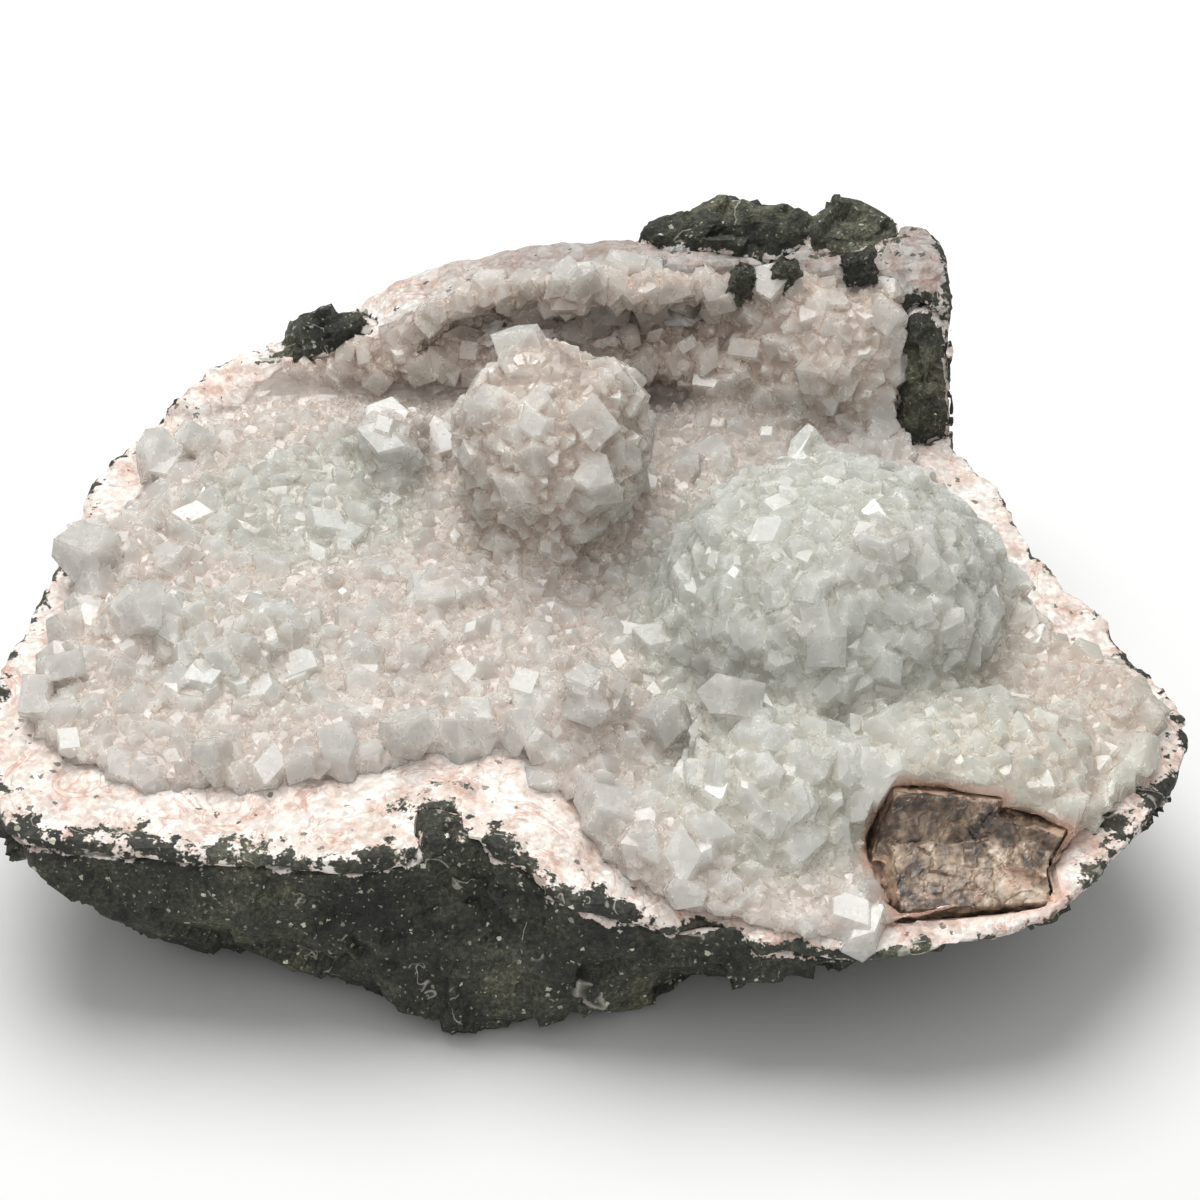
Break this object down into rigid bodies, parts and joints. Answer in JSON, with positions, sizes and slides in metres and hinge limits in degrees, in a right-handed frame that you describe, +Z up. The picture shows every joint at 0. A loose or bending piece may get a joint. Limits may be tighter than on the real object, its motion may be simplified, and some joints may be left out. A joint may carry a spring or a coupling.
{
  "type": "apophyllite geode",
  "caption": "Open geode specimen: pale apophyllite crystals with domed clusters over a pink rind on dark basalt, with a cleaved brown calcite crystal.",
  "frame": {"origin": "middle of the box that encloses the specimen, on the surface that it rests on", "axes": "+X to the viewer's right along the longest side, +Y from the open front to the overhanging back wall, +Z up"},
  "size_m": [0.2958, 0.226, 0.1129],
  "materials": {
    "basalt": "rough broken stone, dark green-grey, with small pale mineral spots",
    "rind": "granular pale pink and cream mineral rind, speckled black towards the basalt",
    "apophyllite": "milky translucent crystals with bright flat faces",
    "calcite": "brown-grey cleaved crystal with bright stepped faces"
  },
  "bodies": {
    "root": {"basalt_matrix": "basalt", "pink_rind": "rind", "apophyllite_druse": "apophyllite", "calcite_crystal": "calcite", "basalt_chip_left": "basalt", "basalt_chip_middle": "basalt", "basalt_chip_right": "basalt"}
  },
  "joints": []
}
